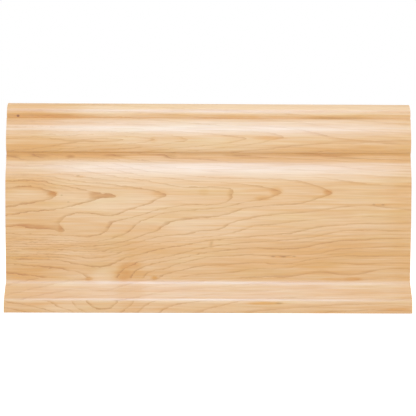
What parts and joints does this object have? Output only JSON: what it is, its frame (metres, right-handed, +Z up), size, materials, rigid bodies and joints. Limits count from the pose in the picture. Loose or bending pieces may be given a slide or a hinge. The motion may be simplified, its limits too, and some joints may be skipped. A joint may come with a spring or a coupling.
{
  "type": "skirting board",
  "caption": "Straight length of moulded solid wood skirting board: plinth, bevel, tall main face, ogee and rounded nosing, with square-cut ends and a relieved back.",
  "frame": {"origin": "where wall and floor meet: the lower edge of the back, at the middle of the length", "axes": "+X along the board, +Y into the wall, so the moulded face looks along -Y, +Z up"},
  "size_m": [0.307, 0.0191, 0.1587],
  "materials": {
    "maple": "pale hard maple, planed and sanded, with a clear satin finish"
  },
  "bodies": {
    "root": {"skirting_board": "maple"}
  },
  "joints": []
}
